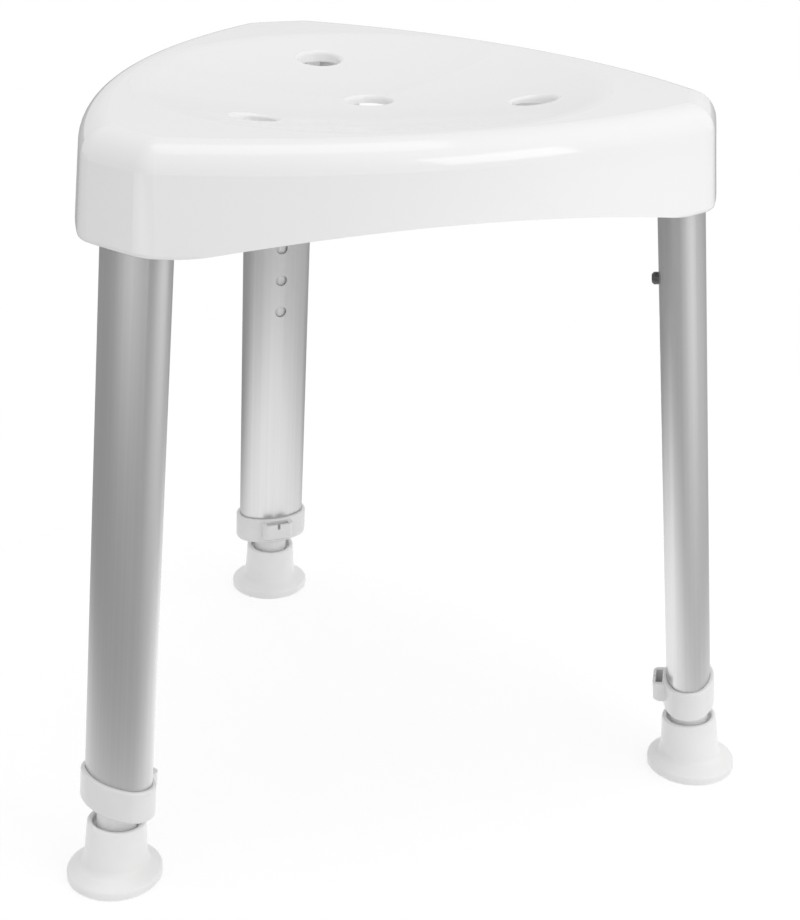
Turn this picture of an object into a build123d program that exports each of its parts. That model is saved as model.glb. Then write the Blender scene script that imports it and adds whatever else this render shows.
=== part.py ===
from build123d import *
import os
from math import asin, cos, degrees, radians, sin, sqrt, tan

# Three-legged shower stool, in millimetres, +Z up.
# The origin is on the stool's axis of symmetry at floor level, with all legs at their shortest.

# Stance
seat_height = 455.0
leg_splay = 5.4
leg_inset = 21.2
leg_turns = {"back": 90.0, "left": 210.0, "right": 330.0}

# Seat outline at the top plane: bowed sides cut off by nearly flat corner faces, as shares of the reach
corner_reach = 207.2
side_share = 0.7683
side_bow_share = 1.979
corner_bow_share = 1.93
corner_edge_share = 0.0878

# Seat shell
seat_wall = 3.6
seat_draft = 5.0
top_edge_r = 17.5
skirt_depth = 61.5
skirt_edge_share = 0.78
arch_rise = 15.8
arch_share = 0.8
arch_end_share = 0.18

# Dish in the top: one shallow lobe toward each corner, turned over softly at its rim
dish_depth = 13.4
dish_lobe_offset = 14.0
dish_side_margin = 26.2
dish_rim_r = 70.0
dish_rim_crest = 0.05

# Drain holes
drain_share = 0.4826
drain_r = 13.4
drain_lip_r = 2.8
drain_collar_wall = 3.0
drain_collar_depth = 1.2
drain_rib_gap = 9.0

# Ribs under the seat
rib_thickness = 2.8
rib_depth = 15.0

# Leg sockets under the seat
socket_wall = 3.4
socket_clearance = 0.15
tube_cover = 11.0
tube_end_gap = 0.2

# Oval leg tube
tube_width = 49.8
tube_depth = 28.8
tube_end_r = 10.5
tube_wall = 1.5

# Height adjustment
hole_count = 5
hole_pitch = 25.0
top_hole_drop = 100.5

# Collar that closes the lower end of the leg tube
collar_wall = 2.5
collar_clearance = 0.15
collar_above_foot = 9.5
collar_height = 21.0
collar_floor = 4.5
collar_top_edge_r = 1.3
collar_bottom_edge_r = 2.4
lug_width = 23.5
lug_reach = 6.3
lug_height = 14.0
lug_drop = 1.6
lug_edge_r = 4.0
lug_pocket_width = 17.0
lug_pocket_depth = 9.5
lug_outer_wall = 1.9
lug_notch_width = 2.2
lug_notch_depth = 4.0

# Round extension tube
post_gap = 0.5
post_wall = 1.6
post_above_button = 26.0
running_clearance = 0.3

# Guide in the upper end of the extension tube
guide_height = 14.0
guide_spigot = 10.0
guide_spigot_clearance = 0.1
guide_bore_r = 5.0

# Snap button and its leaf spring
button_r = 3.9
button_proud = 4.2
button_tip_bevel = 1.3
button_flange_lip = 1.3
button_flange_t = 1.0
button_flange_gap = 0.1
spring_width = 8.0
spring_t = 0.8
spring_length = 52.0
spring_bend_r = 2.5
spring_above_button = 6.0

# Rubber foot
foot_base_reach = 16.8
foot_side_h = 4.4
foot_edge_r = 2.2
foot_slope = 26.0
foot_sole_bevel = 1.2
foot_groove_width = 2.4
foot_groove_depth = 0.8
foot_height = 38.2
foot_neck_low_wall = 7.6
foot_neck_top_wall = 5.6
foot_flare_r = 5.0
foot_rim_share = 0.45
foot_bore_clearance = 0.1
foot_bore_floor_s = 8.5
foot_mouth_gap = 2.4
foot_mouth_depth = 4.0

# Steel washer in the foot
washer_t = 1.5
seat_gap = 0.05

# Screw that holds each leg tube in its socket
screw_drop = 31.0
screw_r = 2.1
screw_length = 10.0
screw_head_r = 4.0
screw_head_h = 2.6
screw_clearance = 0.1
screw_recess_r = 1.1
screw_recess_depth = 1.4

# Sizes that follow from the ones above; a name that ends in _s is a distance up the leg from the floor
side_reach = corner_reach * side_share
side_bow_r = corner_reach * side_bow_share
corner_bow_r = corner_reach * corner_bow_share
corner_edge_r = corner_reach * corner_edge_share
foot_circle_r = corner_reach - leg_inset + seat_height * tan(radians(leg_splay))
skirt_bottom = seat_height - skirt_depth
skirt_edge_r = seat_wall * skirt_edge_share
arch_half_span = corner_reach * arch_share
drain_circle_r = corner_reach * drain_share
tube_half_depth = tube_depth / 2
tube_half_width = tube_width / 2
tube_top_s = (seat_height - tube_cover) / cos(radians(leg_splay))
top_hole_s = tube_top_s - top_hole_drop
screw_s = tube_top_s - screw_drop
collar_bottom_s = foot_height + collar_above_foot
collar_top_s = collar_bottom_s + collar_height
tube_seat_s = collar_bottom_s + collar_floor
post_r = tube_half_depth - tube_wall - post_gap
post_bore_r = post_r - post_wall
post_bottom_s = foot_bore_floor_s + washer_t + 2 * seat_gap
post_top_s = top_hole_s + post_above_button
button_hole_r = button_r + running_clearance
button_flange_r = button_r + button_flange_lip
foot_base_r = post_r + foot_base_reach
foot_neck_low_r = post_r + foot_neck_low_wall
foot_neck_top_r = post_r + foot_neck_top_wall
foot_mouth_r = post_r + foot_mouth_gap
foot_rim_r = (foot_neck_top_r - foot_mouth_r) * foot_rim_share
dish_lobe_r = side_reach - dish_side_margin
crest_x = dish_lobe_r + sqrt(2 * dish_rim_r * dish_rim_crest)
dish_drop = dish_depth + dish_rim_crest
bowl_r = (crest_x**2 + (dish_rim_r - dish_drop) ** 2 - dish_rim_r**2) / (2 * dish_drop)


def leg_frame(turn):
    """Frame of one leg: origin at its foot centre, Z up the leg, X outward through its broad face."""
    lean = radians(leg_splay)
    out = Vector(cos(radians(turn)), sin(radians(turn)), 0)
    up = Vector(0, 0, 1)
    face = out * cos(lean) + up * sin(lean)
    along = up * cos(lean) - out * sin(lean)
    return Plane(origin=out * foot_circle_r, x_dir=face, z_dir=along)


def oval(grow=0.0):
    """Section of the leg tube grown outward: two bowed broad faces joined by round ends."""
    half_w = tube_half_width + grow
    half_d = tube_half_depth + grow
    end_r = tube_end_r + grow
    end_at = half_w - end_r
    bow_r = (end_at**2 + half_d**2 - end_r**2) / (2 * (half_d - end_r))
    bow_at = bow_r - half_d
    reach = bow_r / (bow_r - end_r)
    join_y = end_at * reach
    join_x = bow_at * reach - bow_at
    right = ThreePointArc((join_x, -join_y), (half_d, 0), (join_x, join_y))
    top = ThreePointArc((join_x, join_y), (0, half_w), (-join_x, join_y))
    left = ThreePointArc((-join_x, join_y), (-half_d, 0), (-join_x, -join_y))
    bottom = ThreePointArc((-join_x, -join_y), (0, -half_w), (join_x, -join_y))
    return make_face([right, top, left, bottom])


def prism(section, low, high):
    """Section extruded along Z between two heights."""
    return extrude(Pos(0, 0, low) * section, amount=high - low)


def radial_hole(r, s, low, high):
    """Round bar along a leg's X axis, at one height on the leg."""
    bar = Cylinder(r, high - low, align=(Align.CENTER, Align.CENTER, Align.MIN))
    return Pos(low, 0, s) * Rot(0, 90, 0) * bar


def seat_outline(inset):
    """Plan of the seat at its top plane, moved inward by the inset."""
    corner = Vector(corner_reach - corner_bow_r, 0)
    side = Vector(side_reach - side_bow_r, 0).rotate(Axis.Z, 60)
    gap = side - corner
    near = corner_bow_r - corner_edge_r
    far = side_bow_r - corner_edge_r
    along = (near**2 - far**2 + gap.length**2) / (2 * gap.length)
    across = sqrt(near**2 - along**2)
    edge = corner + gap.normalized() * along + gap.normalized().rotate(Axis.Z, 90) * across
    face_end = edge + (edge - corner).normalized() * (corner_edge_r - inset)
    face_mid = Vector(corner_reach - inset, 0)
    side_end = edge + (edge - side).normalized() * (corner_edge_r - inset)
    bend = ((edge - corner).normalized() + (edge - side).normalized()).normalized()
    edge_mid = edge + bend * (corner_edge_r - inset)
    side_mid = Vector(side_reach - inset, 0).rotate(Axis.Z, 60)
    next_side = Vector(side_end.X, -side_end.Y).rotate(Axis.Z, 120)
    next_mid = Vector(edge_mid.X, -edge_mid.Y).rotate(Axis.Z, 120)
    ends = []
    mids = []
    for turn in leg_turns.values():
        for point in (Vector(face_end.X, -face_end.Y), face_end, side_end, next_side):
            ends.append(point.rotate(Axis.Z, turn))
        for point in (face_mid, edge_mid, side_mid, next_mid):
            mids.append(point.rotate(Axis.Z, turn))
    following = ends[1:] + ends[:1]
    return make_face([ThreePointArc(*points) for points in zip(ends, mids, following)])


def dish_height(x):
    """Height of a dish lobe at a distance from the lobe's own axis."""
    return seat_height - dish_depth + bowl_r - sqrt(bowl_r**2 - x**2)


def dish_lobe():
    """One of the shallow bowls scooped from the top, its rim rolled over, in its own place."""
    bowl_z = bowl_r - dish_depth
    crest_z = dish_rim_crest - dish_rim_r
    share = bowl_r / (bowl_r + dish_rim_r)
    join = (crest_x * share, bowl_z + (crest_z - bowl_z) * share)
    half = join[0] / 2
    mid = (half, bowl_z - sqrt(bowl_r**2 - half**2))
    roll_x = (join[0] + crest_x) / 2
    roll = (roll_x, crest_z + sqrt(dish_rim_r**2 - (roll_x - crest_x) ** 2))
    bowl = ThreePointArc((0, -dish_depth), mid, join)
    rim = ThreePointArc(join, roll, (crest_x, dish_rim_crest))
    lid = Polyline((crest_x, dish_rim_crest), (crest_x, dish_depth), (0, dish_depth), (0, -dish_depth))
    return Pos(dish_lobe_offset, 0, 0) * revolve(Plane.XZ * make_face([bowl, rim, lid]), Axis.Z)


def drain_flare(x):
    """Bell mouth of a drain hole, square to the dish at a distance from the lobe's axis."""
    edge_r = drain_r + drain_lip_r
    lip_mid = drain_lip_r * (1 - sqrt(0.5))
    roll = ThreePointArc((drain_r, -drain_lip_r), (drain_r + lip_mid, -lip_mid), (edge_r, 0))
    above = ((edge_r, 0), (edge_r, dish_depth), (0, dish_depth))
    lid = Polyline(*above, (0, -drain_lip_r), (drain_r, -drain_lip_r))
    flare = revolve(Plane.XZ * make_face([roll, lid]), Axis.Z)
    rise = edge_r**2 / (2 * bowl_r)
    tilt = degrees(asin(x / bowl_r))
    return Pos(0, 0, dish_height(x)) * Rot(0, -tilt, 0) * Pos(0, 0, rise) * flare


def drain_collar(x):
    """Short turned-down edge round a drain hole, under the dish at a distance from the lobe's axis."""
    low = dish_height(x) - seat_wall - drain_collar_depth
    return prism(Circle(drain_r + drain_collar_wall), low, seat_height)


def seat_form(inset):
    """Outside of the seat, or of the hollow in it when the inset is the wall's thickness."""
    block = extrude(seat_outline(inset), amount=-skirt_depth - inset, taper=-seat_draft)
    top_edges = block.faces().sort_by(Axis.Z)[-1].edges()
    block = fillet(top_edges, top_edge_r - inset)
    lobe = dish_lobe()
    for turn in leg_turns.values():
        block -= Rot(0, 0, turn) * lobe
    return Pos(0, 0, seat_height - inset) * block


def arch_cut():
    """Wide arch under one side of the skirt: a hollow arc that runs out level at both ends."""
    sweep_r = (arch_half_span**2 + arch_rise**2) / (2 * arch_rise)
    end_r = sweep_r * arch_end_share
    join_x = arch_half_span * (1 - arch_end_share)
    join_z = end_r + (arch_rise - sweep_r) * arch_end_share
    end_mid = join_x + (arch_half_span - join_x) / 2
    mid_z = end_r - sqrt(end_r**2 - (arch_half_span - end_mid) ** 2)
    left = ThreePointArc((-arch_half_span, 0), (-end_mid, mid_z), (-join_x, join_z))
    middle = ThreePointArc((-join_x, join_z), (0, arch_rise), (join_x, join_z))
    right = ThreePointArc((join_x, join_z), (end_mid, mid_z), (arch_half_span, 0))
    lid = Polyline(
        (arch_half_span, 0), (arch_half_span, -arch_rise), (-arch_half_span, -arch_rise), (-arch_half_span, 0)
    )
    section = Plane.YZ * make_face([left, middle, right, lid])
    return Pos(0, 0, skirt_bottom) * extrude(section, amount=2 * corner_reach)


def arched_form():
    """Outside of the seat with its lower edge rounded and an arch cut in each side of its skirt."""
    form = seat_form(0)
    form = fillet(form.faces().sort_by(Axis.Z)[0].edges(), skirt_edge_r)
    for turn in leg_turns.values():
        form -= Rot(0, 0, turn + 60) * arch_cut()
    return form


def seat_shell():
    """Moulded seat: a thin shell with drain collars, ribs and three leg sockets underneath."""
    outside = arched_form()
    hollow = seat_form(seat_wall)
    rib_low = seat_height - dish_depth - seat_wall - rib_depth
    rib = prism(Pos(corner_reach / 2, 0) * Rectangle(corner_reach, rib_thickness), rib_low, seat_height)
    drain_x = drain_circle_r - dish_lobe_offset
    drain = prism(Circle(drain_r), 0, 2 * seat_height)
    rib_gap = prism(Circle(drain_r + drain_rib_gap), 0, 2 * seat_height)
    drains = drain + drain_flare(0)
    corner_drain = drain + drain_flare(drain_x)
    ribs = Part()
    gaps = rib_gap
    collars = drain_collar(0)
    sockets = Part()
    bores = Part()
    for turn in leg_turns.values():
        spot = Rot(0, 0, turn) * Pos(drain_circle_r, 0, 0)
        ribs += Rot(0, 0, turn) * rib
        ribs += Rot(0, 0, turn + 60) * rib
        gaps += spot * rib_gap
        collars += spot * drain_collar(drain_x)
        drains += spot * corner_drain
        leg = leg_frame(turn).location
        sockets += leg * prism(oval(socket_clearance + socket_wall), 0, 2 * seat_height)
        bores += leg * prism(oval(socket_clearance), 0, tube_top_s + tube_end_gap)
        bores += leg * radial_hole(screw_r + screw_clearance, screw_s, -tube_depth, 0)
    inside = (ribs - gaps) + collars + sockets
    shell = (outside - hollow) + (inside & outside)
    return shell - drains - bores


def leg_tube():
    """Oval aluminium tube with a row of adjustment holes in its inner face."""
    tube = prism(oval(), tube_seat_s, tube_top_s) - prism(oval(-tube_wall), 0, 2 * tube_top_s)
    for step in range(hole_count):
        tube -= radial_hole(button_hole_r, top_hole_s - step * hole_pitch, -tube_depth, 0)
    return tube - radial_hole(screw_r + screw_clearance, screw_s, -tube_depth, 0)


def leg_collar():
    """Moulded cap on the tube's lower end, with a pocketed lug on the inner side."""
    body = prism(oval(collar_clearance + collar_wall), collar_bottom_s, collar_top_s)
    body = fillet(body.faces().sort_by(Axis.Z)[-1].edges(), collar_top_edge_r)
    body = fillet(body.faces().sort_by(Axis.Z)[0].edges(), collar_bottom_edge_r)
    face_x = tube_half_depth + collar_clearance + collar_wall
    lug_top = collar_top_s - lug_drop
    lug_low = lug_top - lug_height
    lug_back = face_x + lug_reach
    lug = Pos(-lug_back, 0, lug_low) * Box(
        lug_reach + collar_wall, lug_width, lug_height, align=(Align.MIN, Align.CENTER, Align.MIN)
    )
    lug = fillet(lug.edges().filter_by(Axis.Z).sort_by(Axis.X)[:2], lug_edge_r)
    lug = chamfer(lug.faces().sort_by(Axis.X)[0].edges().sort_by(Axis.Z)[0], lug_edge_r / 2)
    pocket_x = lug_reach - lug_outer_wall
    pocket = Pos(-lug_back + lug_outer_wall, 0, lug_top) * Box(
        pocket_x, lug_pocket_width, 2 * lug_pocket_depth, align=(Align.MIN, Align.CENTER, Align.CENTER)
    )
    notch = Pos(-lug_back, 0, lug_top) * Box(2 * lug_outer_wall, lug_notch_width, 2 * lug_notch_depth)
    body = body + lug - pocket - notch
    body -= prism(oval(collar_clearance), tube_seat_s, 2 * collar_top_s)
    return body - prism(Circle(post_r + running_clearance), 0, collar_top_s)


def extension_tube():
    """Round tube that slides in the oval one, with the snap button's hole."""
    tube = prism(Circle(post_r), post_bottom_s, post_top_s)
    tube -= prism(Circle(post_bore_r), 0, 2 * post_top_s)
    return tube - radial_hole(button_hole_r, top_hole_s, -2 * post_r, 0)


def extension_guide():
    """Oval plug on top of the extension tube: keeps it centred and stops it turning."""
    head = prism(oval(-tube_wall - running_clearance), post_top_s + seat_gap, post_top_s + guide_height)
    spigot_r = post_bore_r - guide_spigot_clearance
    spigot = prism(Circle(spigot_r), post_top_s - guide_spigot, post_top_s + guide_height)
    return head + spigot - prism(Circle(guide_bore_r), 0, 2 * post_top_s)


def snap_button():
    """Steel button with a flange that stops it inside the extension tube."""
    flange_x = sqrt(post_bore_r**2 - button_flange_r**2) - button_flange_gap
    tip_x = tube_half_depth + button_proud
    pin = radial_hole(button_r, top_hole_s, -tip_x, -flange_x)
    pin = chamfer(pin.faces().sort_by(Axis.X)[0].edges(), button_tip_bevel)
    return pin + radial_hole(button_flange_r, top_hole_s, -flange_x, button_flange_t - flange_x)


def snap_spring():
    """Leaf spring bent to a V: one arm behind the button, the other on the far wall of the tube."""
    flange_x = sqrt(post_bore_r**2 - button_flange_r**2) - button_flange_gap
    near_x = -flange_x + button_flange_t + button_flange_gap + spring_t / 2
    far_x = sqrt(post_bore_r**2 - (spring_width / 2) ** 2) - button_flange_gap - spring_t / 2
    high = top_hole_s + spring_above_button
    low = top_hole_s - spring_length
    line = FilletPolyline(
        (near_x, high),
        (near_x, top_hole_s - spring_above_button),
        (0, low),
        (far_x, top_hole_s),
        (far_x, high),
        radius=spring_bend_r,
    )
    strip = Plane.XZ * trace(line, spring_t)
    return extrude(strip, amount=spring_width / 2, both=True)


def foot():
    """Rubber ferrule: its base lies flat on the floor and its neck leans with the leg."""
    with BuildSketch(Plane.XZ) as half:
        with BuildLine():
            sole = Polyline((0, 0), (foot_base_r - foot_sole_bevel, 0), (foot_base_r, foot_sole_bevel))
            side = Line(sole @ 1, (foot_base_r, foot_side_h))
            edge = JernArc(side @ 1, (0, 1), foot_edge_r, 90 - foot_slope)
            rise = (edge @ 1).X * tan(radians(foot_slope))
            Polyline(edge @ 1, (0, (edge @ 1).Y + rise), (0, 0))
        make_face()
    inward = Rot(0, 0, 180)
    base = inward * revolve(half.sketch, Axis.Z)
    neck = inward * Cone(
        foot_neck_low_r, foot_neck_top_r, foot_height, align=(Align.CENTER, Align.CENTER, Align.MIN)
    )
    neck -= prism(Circle(foot_mouth_r), foot_height - foot_mouth_depth, 2 * foot_height)
    neck = fillet(neck.faces().sort_by(Axis.Z)[-1].edges(), foot_rim_r)
    bore = prism(Circle(post_r + foot_bore_clearance), foot_bore_floor_s, 2 * foot_height)
    lean = Rot(0, -leg_splay, 0)
    floor_cut = Pos(0, 0, -foot_height) * Cylinder(
        2 * foot_base_r, foot_height, align=(Align.CENTER, Align.CENTER, Align.MIN)
    )
    body = base + (lean * neck - floor_cut)
    waist = body.edges().filter_by(lambda edge: edge.geom_type not in (GeomType.CIRCLE, GeomType.LINE))
    body = fillet(waist, foot_flare_r) - lean * bore
    for share in (1 / 3, 2 / 3):
        groove_r = foot_base_r * share
        groove = Circle(groove_r + foot_groove_width) - Circle(groove_r)
        body -= prism(groove, 0, foot_groove_depth)
    return body


def foot_washer():
    """Steel disc under the extension tube, so that it doesn't punch through the rubber."""
    low = foot_bore_floor_s + seat_gap
    return prism(Circle(post_r), low, low + washer_t)


def leg_screw():
    """Pan-head screw through the socket and the tube's inner wall."""
    face_x = tube_half_depth + socket_clearance + socket_wall + seat_gap
    head = radial_hole(screw_head_r, screw_s, -face_x - screw_head_h, -face_x)
    head = chamfer(head.faces().sort_by(Axis.X)[0].edges(), screw_head_h / 3)
    head_x = -face_x - screw_head_h
    slot = radial_hole(screw_recess_r, screw_s, head_x, head_x + screw_recess_depth)
    shank = radial_hole(screw_r, screw_s, -face_x, -face_x + screw_length)
    return head + shank - slot


# Pieces of one leg, written in the leg's own frame
leg_pieces = {
    "leg_tube": leg_tube(),
    "leg_collar": leg_collar(),
    "extension_tube": extension_tube(),
    "extension_guide": extension_guide(),
    "snap_button": snap_button(),
    "snap_spring": snap_spring(),
    "foot_washer": foot_washer(),
}

# Every node in its place
nodes = {"seat_shell": seat_shell()}
screw = leg_screw()
rubber_foot = foot()
screws = []
for side, turn in leg_turns.items():
    place = leg_frame(turn).location
    for name, piece in leg_pieces.items():
        nodes[f"{name}_{side}"] = place * piece
    nodes[f"foot_{side}"] = Rot(0, 0, turn) * Pos(foot_circle_r, 0, 0) * rubber_foot
    screws.append(place * screw)
nodes["leg_screws"] = Compound(screws)

os.makedirs("parts", exist_ok=True)
for name, node in nodes.items():
    export_step(node, f"parts/{name}.step")
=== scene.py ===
import math

import bpy
from mathutils import Matrix, Vector


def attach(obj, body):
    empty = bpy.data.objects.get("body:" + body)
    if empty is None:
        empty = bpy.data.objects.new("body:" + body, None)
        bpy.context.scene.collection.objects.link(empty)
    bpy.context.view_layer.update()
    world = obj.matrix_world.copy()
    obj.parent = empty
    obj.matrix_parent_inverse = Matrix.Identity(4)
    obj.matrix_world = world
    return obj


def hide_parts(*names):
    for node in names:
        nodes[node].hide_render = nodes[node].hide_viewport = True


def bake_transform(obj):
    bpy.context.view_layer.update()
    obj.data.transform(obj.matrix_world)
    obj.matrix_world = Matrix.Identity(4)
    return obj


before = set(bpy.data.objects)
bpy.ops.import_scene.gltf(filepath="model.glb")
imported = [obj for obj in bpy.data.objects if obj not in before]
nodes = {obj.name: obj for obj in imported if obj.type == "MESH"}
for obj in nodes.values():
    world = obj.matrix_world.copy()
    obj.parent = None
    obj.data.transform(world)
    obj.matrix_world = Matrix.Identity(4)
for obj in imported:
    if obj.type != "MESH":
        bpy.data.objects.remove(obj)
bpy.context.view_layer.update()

scene = bpy.context.scene

# Legs: the direction in which each stands, in degrees, and how far it leans outward
leg_turns = {"back": 90.0, "left": 210.0, "right": 330.0}
leg_splay = math.radians(5.4)

# Noise: how far it strays from a half, and how far it moves the roughness either way
wide_reach = 0.2
narrow_reach = 0.15
plastic_rough_change = 0.03
steel_rough_change = 0.08

# Floor: half its width, its tone, its own light to the eye, and the ring over which it grows clear
floor_half = 9.0
floor_tone = 0.85
floor_lift = 0.25
clear_start_r = 0.3
clear_end_r = 0.9
clear_near = 0.66

# Floor in the metal: an even tone, and soft painted pools of light, seen only in reflections, given by
# centre, radius and strength
mirror_tone = 0.355
painted_reflection_pools = (
    ((-0.01, 0.04, 0.0), 0.59, 1.03),
    ((1.97, -2.04, 0.0), 3.52, 1.12),
    ((-3.3, -1.0, 0.0), 2.2, 1.65),
)

# Room: its light, the white that the eye sees, and a soft glow on the left in reflections
room_light = 0.748
room_white = 1.0
glow_way = (-0.770, -0.539, 0.342)
glow_radius = 0.75
glow_strength = 0.2

# Lamps: place, aim, width, height, power in watts, and whether reflections show it
stool_middle = (0.0, 0.0, 0.35)
seat_front = (0.02, -0.158, 0.445)
lamps = {
    "key": ((1.053, -1.844, 1.409), seat_front, 1.1, 1.02, 7.7, True),
    "right": ((1.959, -0.713, 1.322), stool_middle, 1.5, 1.5, 6.0, False),
    "front": ((-0.304, -2.166, 1.061), stool_middle, 1.5, 1.5, 2.3, False),
    "top": ((0.0, 0.0, 2.65), stool_middle, 1.6, 1.6, 8.9, True),
}

# Camera at the photograph's viewing angle
camera_place = (-0.36624, -1.04921, 0.68729)
camera_right = Vector((0.939800, -0.341127, 0.020195))
camera_up = Vector((0.118720, 0.381345, 0.916778))
camera_forward = Vector((0.320439, 0.859191, -0.398886))
camera_lens = 72.04
camera_sensor = 36.0
camera_far = 100.0


# Node helpers
def new_material(name):
    """A material with one principled shader, its node tree and that shader."""
    material = bpy.data.materials.new(name)
    material.use_nodes = True
    tree = material.node_tree
    return material, tree, tree.nodes["Principled BSDF"]


def add(tree, kind, **values):
    """A node with its input sockets, or its own settings, set by name."""
    node = tree.nodes.new(kind)
    for key, value in values.items():
        if key in node.inputs:
            node.inputs[key].default_value = value
        else:
            setattr(node, key, value)
    return node


def link(tree, source, target):
    tree.links.new(source, target)


def combine(tree, operation, first, second):
    """Two values joined by a sum, a product or the like. The second may be a plain number."""
    node = add(tree, "ShaderNodeMath", operation=operation)
    link(tree, first, node.inputs[0])
    if isinstance(second, float):
        node.inputs[1].default_value = second
    else:
        link(tree, second, node.inputs[1])
    return node.outputs["Value"]


def ramp(tree, source, low, high, to_low, to_high):
    """A value moved from one range to another."""
    node = add(tree, "ShaderNodeMapRange")
    node.inputs["From Min"].default_value = low
    node.inputs["From Max"].default_value = high
    node.inputs["To Min"].default_value = to_low
    node.inputs["To Max"].default_value = to_high
    link(tree, source, node.inputs["Value"])
    return node.outputs["Result"]


def spread(tree, source, to_low=0.0, to_high=1.0, reach=wide_reach):
    """Noise, which mostly stays within this reach of a half, moved to a range."""
    return ramp(tree, source, 0.5 - reach, 0.5 + reach, to_low, to_high)


def noise(tree, place, scale, detail=3.0):
    """Noise at a scale, in cells to the metre."""
    node = add(tree, "ShaderNodeTexNoise", Scale=scale, Detail=detail)
    link(tree, place, node.inputs["Vector"])
    return node.outputs["Fac"]


def pool(tree, place, centre, radius, strength):
    """A soft round pool of light: full at its centre, and nothing at its radius."""
    away = add(tree, "ShaderNodeVectorMath", operation="DISTANCE")
    link(tree, place, away.inputs[0])
    away.inputs[1].default_value = centre
    fade = add(tree, "ShaderNodeMapRange", interpolation_type="SMOOTHSTEP")
    fade.inputs["From Max"].default_value = radius
    fade.inputs["To Min"].default_value = strength
    fade.inputs["To Max"].default_value = 0.0
    link(tree, away.outputs["Value"], fade.inputs["Value"])
    return fade.outputs["Result"]


def seen_by(tree, *kinds):
    """1 for rays of any of these kinds, and 0 for the rest."""
    paths = add(tree, "ShaderNodeLightPath")
    total = paths.outputs[kinds[0]]
    for kind in kinds[1:]:
        total = combine(tree, "MAXIMUM", total, paths.outputs[kind])
    return total


def mix_shaders(tree, factor, first, second):
    """The first shader where the factor is 0, and the second where it is 1."""
    node = add(tree, "ShaderNodeMixShader")
    link(tree, factor, node.inputs["Fac"])
    link(tree, first, node.inputs[1])
    link(tree, second, node.inputs[2])
    return node.outputs["Shader"]


def grey(tone, warmth=0.0):
    """A grey, with its blue lowered by the warmth."""
    return tone, tone, tone - warmth, 1.0


def two_tone(tree, factor, first, second):
    """A colour that runs from one to the other with the factor."""
    node = add(tree, "ShaderNodeMix", data_type="RGBA")
    ends = {socket.name: socket for socket in node.inputs if socket.type == "RGBA"}
    ends["A"].default_value = first
    ends["B"].default_value = second
    link(tree, factor, node.inputs["Factor"])
    return next(socket for socket in node.outputs if socket.type == "RGBA")


def bump(tree, shader, height, strength, distance):
    """Fine relief on a shader."""
    node = add(tree, "ShaderNodeBump", Strength=strength, Distance=distance)
    link(tree, height, node.inputs["Height"])
    link(tree, node.outputs["Normal"], shader.inputs["Normal"])


def object_place(tree):
    return add(tree, "ShaderNodeTexCoord").outputs["Object"]


def leg_axes(turn):
    """The outward and the upward axis of the leg that stands in this direction."""
    c, s = math.cos(math.radians(turn)), math.sin(math.radians(turn))
    face = Vector((c * math.cos(leg_splay), s * math.cos(leg_splay), math.sin(leg_splay)))
    along = Vector((-c * math.sin(leg_splay), -s * math.sin(leg_splay), math.cos(leg_splay)))
    return face, along


def leg_place(tree, turn, stretch):
    """Coordinates along one leg: the third runs up it, divided by the stretch."""
    face, along = leg_axes(turn)
    across = along.cross(face)
    place = object_place(tree)
    join = add(tree, "ShaderNodeCombineXYZ")
    for key, axis in (("X", face), ("Y", across), ("Z", along / stretch)):
        dot = add(tree, "ShaderNodeVectorMath", operation="DOT_PRODUCT")
        link(tree, place, dot.inputs[0])
        dot.inputs[1].default_value = axis
        link(tree, dot.outputs["Value"], join.inputs[key])
    return join.outputs["Vector"]


# Materials
def seat_plastic():
    """Glossy white plastic with a very fine skin."""
    material, tree, shader = new_material("seat_plastic")
    place = object_place(tree)
    cloud = spread(tree, noise(tree, place, scale=7.0, detail=2.0))
    colour = two_tone(tree, cloud, grey(0.848, warmth=0.002), grey(0.854, warmth=0.002))
    gloss = spread(tree, noise(tree, place, scale=25.0, detail=2.0), 0.06, 0.08)
    skin = noise(tree, place, scale=900.0, detail=2.0)
    link(tree, colour, shader.inputs["Base Color"])
    link(tree, gloss, shader.inputs["Roughness"])
    bump(tree, shader, skin, strength=0.03, distance=0.0002)
    shader.inputs["IOR"].default_value = 1.49
    return material


def leg_aluminium(side, turn):
    """Satin aluminium with faint lines drawn along the leg."""
    material, tree, shader = new_material("leg_aluminium_" + side)
    lines = noise(tree, leg_place(tree, turn, stretch=600.0), scale=450.0, detail=2.0)
    broad = noise(tree, leg_place(tree, turn, stretch=12.0), scale=60.0)
    colour = two_tone(tree, spread(tree, lines), grey(0.585, warmth=0.002), grey(0.615, warmth=0.002))
    link(tree, colour, shader.inputs["Base Color"])
    link(tree, spread(tree, broad, 0.28, 0.34), shader.inputs["Roughness"])
    bump(tree, shader, lines, strength=0.03, distance=0.0003)
    shader.inputs["Metallic"].default_value = 0.8
    return material


def moulded(name, first, second, rough, grain, depth):
    """Moulded plastic, rubber or a coating, with a fine skin."""
    material, tree, shader = new_material(name)
    place = object_place(tree)
    cloud = spread(tree, noise(tree, place, scale=40.0, detail=4.0), reach=narrow_reach)
    smooth, dull = rough - plastic_rough_change, rough + plastic_rough_change
    gloss = spread(tree, noise(tree, place, scale=150.0), smooth, dull)
    skin = noise(tree, place, scale=grain, detail=2.0)
    link(tree, two_tone(tree, cloud, first, second), shader.inputs["Base Color"])
    link(tree, gloss, shader.inputs["Roughness"])
    bump(tree, shader, skin, strength=0.15, distance=depth)
    return material


def plain_metal(name, first, second, rough):
    """Steel with a fine speckle."""
    material, tree, shader = new_material(name)
    speck = noise(tree, object_place(tree), scale=500.0, detail=4.0)
    colour = two_tone(tree, spread(tree, speck, reach=narrow_reach), first, second)
    link(tree, colour, shader.inputs["Base Color"])
    smooth, dull = rough - steel_rough_change, rough + steel_rough_change
    link(tree, spread(tree, speck, smooth, dull), shader.inputs["Roughness"])
    shader.inputs["Metallic"].default_value = 1.0
    return material


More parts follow.
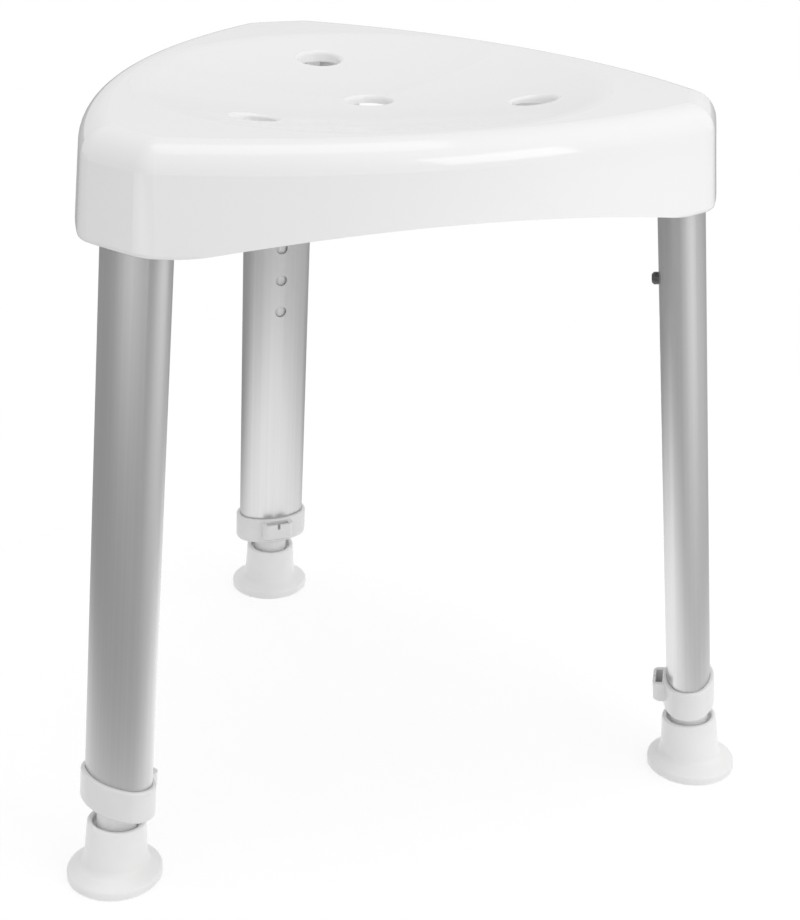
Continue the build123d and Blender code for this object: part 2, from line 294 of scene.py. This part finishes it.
looks = {
    "seat_shell": seat_plastic(),
    "leg_collar": moulded(
        "collar_plastic", grey(0.77), grey(0.795), rough=0.2, grain=1600.0, depth=0.00005
    ),
    "extension_guide": moulded(
        "guide_plastic", grey(0.70), grey(0.74), rough=0.45, grain=1600.0, depth=0.0002
    ),
    "foot_washer": plain_metal("plated_washer", grey(0.50), grey(0.58), rough=0.35),
    "foot": moulded(
        "foot_rubber", grey(0.84, warmth=0.005), grey(0.87, warmth=0.005),
        rough=0.32, grain=1200.0, depth=0.0001,
    ),
    "extension_tube": moulded(
        "post_coating", grey(0.78, warmth=0.002), grey(0.84, warmth=0.002),
        rough=0.3, grain=900.0, depth=0.0001,
    ),
    "snap_button": plain_metal("button_steel", grey(0.10), grey(0.16), rough=0.4),
    "snap_spring": plain_metal(
        "spring_steel", grey(0.35, warmth=-0.01), grey(0.42, warmth=-0.01), rough=0.3
    ),
    "leg_screws": plain_metal("plated_screw", grey(0.50), grey(0.58), rough=0.3),
}
tube_looks = {side: leg_aluminium(side, turn) for side, turn in leg_turns.items()}
for name, piece in nodes.items():
    stem, _, side = name.rpartition("_")
    if stem == "leg_tube":
        look = tube_looks[side]
    elif name in looks:
        look = looks[name]
    else:
        look = looks[stem]
    piece.data.materials.clear()
    piece.data.materials.append(look)

# Each leaf spring is copied into an object of its own, with its place baked into the mesh, and the
# imported piece is hidden
for side, turn in leg_turns.items():
    name = "snap_spring_" + side
    leaf = bpy.data.objects.new("bending_spring_" + side, nodes[name].data.copy())
    scene.collection.objects.link(leaf)
    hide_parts(name)
    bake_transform(leaf)


# Floor, room, lamps and camera
def floor_paper():
    """White paper that keeps the shadow near the object and runs out into the white room."""
    material, tree, shader = new_material("floor_paper")
    shader.inputs["Roughness"].default_value = 1.0
    shader.inputs["Specular IOR Level"].default_value = 0.0
    shader.inputs["Emission Color"].default_value = grey(1.0)
    place = object_place(tree)
    shown = seen_by(tree, "Is Camera Ray", "Is Transmission Ray")
    mirrored = seen_by(tree, "Is Glossy Ray")
    # Painted reflection: in the metal the paper glows pale, with painted pools of light under the
    # object, towards the key lamp and on the left
    painted_pools = [pool(tree, place, *values) for values in painted_reflection_pools]
    painted_reflection = painted_pools[0]
    for other in painted_pools[1:]:
        painted_reflection = combine(tree, "ADD", painted_reflection, other)
    painted_reflection = combine(tree, "ADD", painted_reflection, mirror_tone)
    lift = combine(tree, "MULTIPLY", shown, floor_lift)
    glow = combine(tree, "ADD", lift, combine(tree, "MULTIPLY", painted_reflection, mirrored))
    colour = two_tone(tree, mirrored, grey(floor_tone), grey(0.0))
    link(tree, colour, shader.inputs["Base Color"])
    link(tree, glow, shader.inputs["Emission Strength"])
    # To the eye it grows clear away from the object, and the white room shows through
    length = add(tree, "ShaderNodeVectorMath", operation="LENGTH")
    link(tree, place, length.inputs[0])
    fade = ramp(tree, length.outputs["Value"], clear_start_r, clear_end_r, clear_near, 1.0)
    clear = add(tree, "ShaderNodeBsdfTransparent").outputs["BSDF"]
    paper = mix_shaders(tree, combine(tree, "MULTIPLY", fade, shown), shader.outputs["BSDF"], clear)
    link(tree, paper, tree.nodes["Material Output"].inputs["Surface"])
    return material


def make_floor():
    corners = [(x * floor_half, y * floor_half, 0.0) for x, y in ((-1, -1), (1, -1), (1, 1), (-1, 1))]
    mesh = bpy.data.meshes.new("floor")
    mesh.from_pydata(corners, [], [(0, 1, 2, 3)])
    mesh.materials.append(floor_paper())
    floor = bpy.data.objects.new("floor", mesh)
    scene.collection.objects.link(floor)
    # The floor stays under the feet when all legs are drawn out
    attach(floor, "leg_back")


def make_world():
    world = bpy.data.worlds.new("studio")
    scene.world = world
    world.use_nodes = True
    tree = world.node_tree
    tree.nodes.clear()
    soft = add(tree, "ShaderNodeBackground", Color=grey(1.0))
    white = add(tree, "ShaderNodeBackground", Color=grey(1.0), Strength=room_white)
    way = add(tree, "ShaderNodeTexCoord").outputs["Generated"]
    glow = pool(tree, way, glow_way, glow_radius, glow_strength)
    glow = combine(tree, "MULTIPLY", glow, seen_by(tree, "Is Glossy Ray"))
    link(tree, combine(tree, "ADD", glow, room_light), soft.inputs["Strength"])
    shown = seen_by(tree, "Is Camera Ray", "Is Transmission Ray")
    room = mix_shaders(tree, shown, soft.outputs["Background"], white.outputs["Background"])
    link(tree, room, add(tree, "ShaderNodeOutputWorld").inputs["Surface"])


def softbox(name, place, aim, width, height, power, mirrored):
    """A rectangular area lamp that looks at a point."""
    data = bpy.data.lights.new(name, "AREA")
    data.shape = "RECTANGLE"
    data.size = width
    data.size_y = height
    data.energy = power
    lamp = bpy.data.objects.new(name, data)
    scene.collection.objects.link(lamp)
    lamp.location = place
    lamp.rotation_euler = (Vector(aim) - Vector(place)).to_track_quat("-Z", "Y").to_euler()
    lamp.visible_glossy = mirrored


def make_camera():
    data = bpy.data.cameras.new("camera")
    data.sensor_width = camera_sensor
    data.lens = camera_lens
    data.clip_end = camera_far
    camera = bpy.data.objects.new("camera", data)
    turn = Matrix((camera_right, camera_up, -camera_forward)).transposed().to_4x4()
    camera.matrix_world = Matrix.Translation(camera_place) @ turn
    scene.collection.objects.link(camera)
    scene.camera = camera


make_floor()
make_world()
for name, values in lamps.items():
    softbox(name, *values)
make_camera()

scene.view_settings.view_transform = "Standard"
